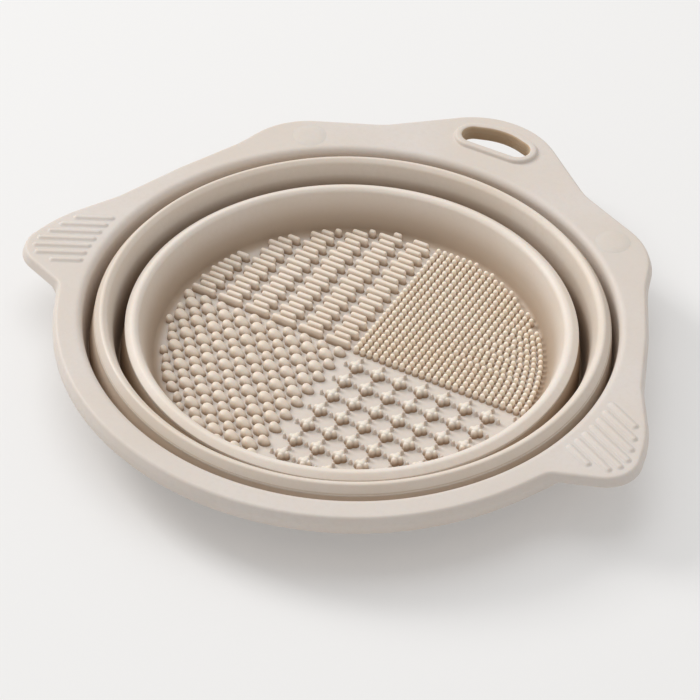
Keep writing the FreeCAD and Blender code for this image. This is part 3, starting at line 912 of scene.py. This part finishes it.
def pin_places():
    """Rows along X. Low rows spread their outer pins so that the last one follows the rim."""
    places = []
    rows, cols = PIN_GRID
    for row in range(rows):
        y = PIN_FIRST_Y + row * PIN_PITCH
        if y > FIELD - PIN_ROW_MARGIN:
            break
        last = math.sqrt((FIELD - PIN_MARGIN) ** 2 - y ** 2)
        row_places = [PIN_FIRST_X + k * PIN_PITCH for k in range(cols)]
        row_places = [x for x in row_places if x <= last]
        if y < FAN_TOP:
            fan_start = max(FAN_LEAST, (y + FAN_OFFSET) / FAN_SLOPE)
            row_places = [x for x in row_places if x < fan_start]
            straight_end = row_places[-1]
            free = last - straight_end
            count = max(1, round(free / PIN_PITCH))
            row_places += [straight_end + free * (k + 1) / count for k in range(count)]
        places += [(x, y) for x in row_places]
    return places


def make_fine_pins():
    parts = []
    for x, y in pin_places():
        x += draw.uniform(-PIN_JITTER, PIN_JITTER)
        y += draw.uniform(-PIN_JITTER, PIN_JITTER)
        lift = draw.uniform(-PIN_JITTER, PIN_JITTER)
        rings = [(radius, z + lift * (z > PIN_CROWN)) for radius, z in PIN_RINGS]
        parts.append(column(x, y, rings, PIN_SIDES))
    piece = make_piece("fine_pins", *merge(parts), pin_silicone, "cup", soften=False)
    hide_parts("fine_pin_field")


BAR_PITCH_X = 7.25
BAR_PITCH_Y = 1.94
BAR_FIRST_X = 4.0
BAR_FIRST_Y = 1.75
BAR_LONG = 6.4
BAR_SHORT = 4.2
BAR_HALF = 0.65
BAR_MARGIN = 0.8
BAR_LEAST = 1.6
BAR_ROWS = nub_rings(
    [(0.20, -0.3), (0.18, 0.02), (0.06, 0.18), (0.01, 0.5)],
    [(-0.02, 0.65), (-0.07, 0.38), (-0.18, 0.17), (-0.34, 0.04), (-0.52, 0.0)])


def make_bars():
    parts = []
    rows, cols = BAR_GRID
    stray_x, stray_y = BAR_JITTER
    for row in range(rows):
        for col in range(cols):
            x = -(BAR_FIRST_X + col * BAR_PITCH_X)
            y = BAR_FIRST_Y + row * BAR_PITCH_Y
            length = BAR_LONG if row % 2 == 0 else BAR_SHORT
            if not in_field(x, y, length / 2, 2 * BAR_HALF):
                # an end bar is cut short to fit, or left out
                edge = math.sqrt(max(0.0, (FIELD - BAR_MARGIN) ** 2 - y ** 2))
                spare = edge + (x + length / 2)
                if y > FIELD - 1 or spare < BAR_LEAST:
                    continue
                x = x + length / 2 - spare / 2
                length = spare
            run = length / 2 - BAR_HALF
            x += draw.uniform(-stray_x, stray_x)
            y += draw.uniform(-stray_y, stray_y)
            ends = (x - run, y, x + run, y)
            parts.append(pillow(lambda grow, e=ends: stadium(*e, BAR_HALF + grow, 7), BAR_ROWS))
    piece = make_piece("short_bars", *merge(parts), nub_silicone, "cup", soften=False)
    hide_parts("bar_field")


EGG_SIDES = 30
# rows up an egg, as (share of its outline, share of its height)
EGG_ROWS = [(1.06, -0.16), (1.04, 0.0), (1.01, 0.08), (1.0, 0.24), (0.985, 0.44), (0.94, 0.62),
            (0.85, 0.78), (0.71, 0.90), (0.52, 0.965), (0.30, 0.99), (0.12, 1.0)]
EGG_HEAD_SHIFT = 0.20
EGG_TAPER = 0.13
EGG_TAIL_DROP = 0.40
EGG_TAIL_START = -0.35


def egg(x, y, length, width, height):
    """A round-headed mound with a lower tail towards +X."""
    verts, rows = [], []
    for share, rise in EGG_ROWS:
        rows.append(list(range(len(verts), len(verts) + EGG_SIDES)))
        for k in range(EGG_SIDES):
            a = FULL_TURN * k / EGG_SIDES
            u, v = math.cos(a), math.sin(a)
            px = x - (1 - share) * EGG_HEAD_SHIFT * length + share * u * length / 2
            py = y + share * v * width / 2 * (1 - EGG_TAPER * u)
            along = (px - x) / (length / 2)
            drop = 1 - EGG_TAIL_DROP * float(smoothstep(EGG_TAIL_START, 1.0, along))
            verts.append((px, py, FLOOR + height * rise * (drop if rise > 0 else 1)))
    faces = []
    for one, two in zip(rows, rows[1:]):
        faces += bridge(one, two)
    for row, flip in ((rows[0], True), (rows[-1], False)):
        ring = np.array([verts[i] for i in row])
        verts.append(tuple(ring.mean(axis=0) + np.array([0, 0, 0.0 if flip else 0.01])))
        faces += bridge([len(verts) - 1], row) if flip else bridge(row, [len(verts) - 1])
    return verts, faces


EGG_PITCH_X = 4.48
EGG_PITCH_Y = 2.47
EGG_FIRST_X = 2.1
EGG_FIRST_Y = 1.0
# length, width, height
SMALL_EGG = (3.0, 2.2, 1.8)
LARGE_EGG = (3.75, 2.62, 2.0)
# an egg cut short at the field's edge: shift, half length it needs, length
CUT_EGG = (0.5, 0.8, 1.9)


def make_eggs():
    cut_shift, cut_half, cut_length = CUT_EGG
    rows, cols = EGG_GRID
    stray_x, stray_y = EGG_JITTER
    parts = []
    for row in range(rows):
        small = row % 2 == 0
        length, width, height = SMALL_EGG if small else LARGE_EGG
        stagger = 0 if small else EGG_PITCH_X / 2
        for col in range(cols):
            x = -(EGG_FIRST_X + col * EGG_PITCH_X + stagger)
            y = -(EGG_FIRST_Y + row * EGG_PITCH_Y)
            x += draw.uniform(-stray_x, stray_x)
            y += draw.uniform(-stray_y, stray_y)
            if in_field(x, y, length / 2, width):
                parts.append(egg(x, y, length, width, height))
            elif in_field(x + cut_shift, y, cut_half, width):
                parts.append(egg(x + cut_shift, y, cut_length, width * 0.85, height * 0.95))
    piece = make_piece("egg_nubs", *merge(parts), nub_silicone, "cup", soften=False)
    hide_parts("egg_nub_field")


CROSS_PITCH = 5.6
CROSS_FIRST = 3.7
CROSS_SPAN = 3.35
CROSS_ARM = 1.5
CROSS_CORNER = 0.06
# the room a cross and a thorn need inside the field
CROSS_REACH = 1.75
THORN_REACH = 0.55
CROSS_ROWS = nub_rings(
    [(0.22, -0.3), (0.19, 0.02), (0.08, 0.2), (0.02, 0.5)],
    [(-0.02, 1.0), (-0.08, 0.7), (-0.18, 0.48), (-0.32, 0.32), (-0.47, 0.23), (-0.6, 0.2)])
DOME_RINGS = nub_rings(
    [(1.28, -0.3), (1.24, 0.02), (1.14, 0.2), (1.10, 0.6)],
    [(1.05, 0.8), (0.98, 0.5), (0.85, 0.28), (0.64, 0.12), (0.4, 0.03), (0.15, 0.0)])
THORN_RINGS = nub_rings(
    [(0.58, -0.3), (0.55, 0.02), (0.46, 0.16), (0.42, 0.5),
     (0.38, 0.85), (0.31, 1.1), (0.18, 1.24), (0.06, 1.28)], [])


def plus_outline(x, y, span, arm, grow):
    """A plus with round arm ends and tight inner corners, anticlockwise."""
    long_half = span / 2 + grow
    half = arm / 2 + grow
    points = []
    for quarter in range(4):
        turn = math.pi / 2 * quarter
        c, s = math.cos(turn), math.sin(turn)
        local = []
        for k in range(7):
            a = -math.pi / 2 + math.pi * k / 6
            local.append((long_half - half + half * math.cos(a), half * math.sin(a)))
        local.append((half + CROSS_CORNER, half + CROSS_CORNER))
        points += [(x + c * u - s * v, y + s * u + c * v) for u, v in local]
    return points


def make_crosses():
    """Crosses with a domed middle, and a thorn halfway between each pair of neighbours."""
    parts, spacers = [], []
    half_pitch = CROSS_PITCH / 2
    rows, cols = CROSS_GRID
    for row in range(rows):
        for col in range(cols):
            x = CROSS_FIRST - half_pitch + col * half_pitch
            y = -(CROSS_FIRST - half_pitch + row * half_pitch)
            odd = col % 2 + row % 2
            if odd == 2 and in_field(x, y, CROSS_REACH, 2 * CROSS_REACH):
                x += draw.uniform(-CROSS_JITTER, CROSS_JITTER)
                place = (x, y, CROSS_SPAN, CROSS_ARM)
                parts.append(pillow(lambda grow, p=place: plus_outline(*p, grow), CROSS_ROWS))
                parts.append(column(x, y, DOME_RINGS, DOME_SIDES))
            if odd == 1 and in_field(x, y, THORN_REACH, THORN_REACH):
                spacers.append(column(x, y, THORN_RINGS, PIN_SIDES))
    cross_faces = sum(len(faces) for verts, faces in parts)
    verts, faces = merge(parts + spacers)
    piece = make_piece("crosses", verts, faces, cross_silicone, "cup", soften=False)
    recolour(piece, cup_silicone, range(cross_faces, len(faces)))
    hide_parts("cross_field")


# ---------------------------------------------------------------- camera, floor and light

LENS = 145.24
SENSOR = 36.0
DISTANCE = 0.6419
ELEVATION = math.radians(40.474)
ROLL = -0.0283
TILT = 0.01377
AZIMUTH = -0.48734
LOOK_AT = Vector((0, 0, TOP * MM))


def add_camera():
    data = bpy.data.cameras.new("camera")
    data.lens = LENS
    data.sensor_width = SENSOR
    data.dof.use_dof = False
    data.clip_start = 0.01
    data.clip_end = 20
    camera = bpy.data.objects.new("camera", data)
    bpy.context.scene.collection.objects.link(camera)
    back = Vector((0, -math.cos(ELEVATION), math.sin(ELEVATION)))
    right = Vector((1, 0, 0))
    up = back.cross(right)
    rows = Matrix((right, up, back))
    rows = Matrix.Rotation(ROLL, 3, "Z") @ Matrix.Rotation(TILT, 3, "X") @ rows
    spin = Matrix.Rotation(AZIMUTH, 3, "Z")
    to_camera = rows @ spin
    stand = LOOK_AT + spin.transposed() @ back * DISTANCE
    camera.matrix_world = Matrix.Translation(stand) @ to_camera.transposed().to_4x4()
    bpy.context.scene.camera = camera
    return spin.transposed()


def add_floor():
    """A pale table top that reaches well past the picture, just under the bowl's foot. It glows a
    little: painted light that lightens the shadows on it.
    """
    half = 3.0
    z = -0.00005
    corners = [(-half, -half, z), (half, -half, z), (half, half, z), (-half, half, z)]
    mesh = bpy.data.meshes.new("floor")
    mesh.from_pydata(corners, [], [(0, 1, 2, 3)])
    floor = bpy.data.objects.new("floor", mesh)
    bpy.context.scene.collection.objects.link(floor)
    material = bpy.data.materials.new("pale_glowing_floor")
    material.use_nodes = True
    tree = material.node_tree
    shader = tree.nodes["Principled BSDF"]
    shader.inputs["Base Color"].default_value = (0.59, 0.59, 0.59, 1)
    # painted light: the floor glows to lighten its shadows and the bowl's underside
    shader.inputs["Emission Color"].default_value = (1.0, 0.99, 0.98, 1)
    shader.inputs["Emission Strength"].default_value = 0.26
    shader.inputs["Roughness"].default_value = 0.7
    shader.inputs["Specular IOR Level"].default_value = 0.25
    mesh.materials.append(material)


def add_light(name, view_turn, direction, distance, size, power, colour):
    """A square soft light, placed as seen from the camera: right, away, up."""
    data = bpy.data.lights.new(name, "AREA")
    data.shape = "SQUARE"
    data.size = size
    data.energy = power
    data.color = colour
    light = bpy.data.objects.new(name, data)
    bpy.context.scene.collection.objects.link(light)
    towards = (view_turn @ Vector(direction)).normalized()
    light.location = towards * distance
    light.rotation_mode = "QUATERNION"
    light.rotation_quaternion = towards.to_track_quat("Z", "Y")


def add_lights(view_turn):
    world = bpy.data.worlds.new("studio")
    world.use_nodes = True
    shade = world.node_tree.nodes["Background"]
    shade.inputs["Color"].default_value = (1.0, 0.98, 0.955, 1)
    shade.inputs["Strength"].default_value = 0.5
    bpy.context.scene.world = world
    add_light("key", view_turn, direction=(-0.75, 0.55, 0.68), distance=2.2, size=0.8,
              power=23.0, colour=(1.0, 0.99, 0.975))
    add_light("overhead", view_turn, direction=(-0.1, 0.3, 1.0), distance=1.6, size=1.3,
              power=8.5, colour=(0.985, 0.99, 1.0))
    bpy.context.scene.view_settings.view_transform = "Standard"


make_rim_shell()
make_rim_lip()
for side, sign in (("right", 1), ("left", -1)):
    make_grip_ribs(side, sign)
    make_ear_pad(side, sign)
make_middle_ring()
make_cup()
make_web("outer_fold", "outer_fold_web", inner=57.4, splay=1.4, fold=MIDDLE_FOLD, toe=RIM_TOE_TOP,
         body_b="rim")
make_web("inner_fold", "inner_fold_web", inner=50.3, splay=1.6, fold=CUP_FOLD, toe=TOE_TOP,
         body_b="middle_ring")
make_fine_pins()
make_bars()
make_eggs()
make_crosses()
view_turn = add_camera()
add_floor()
add_lights(view_turn)
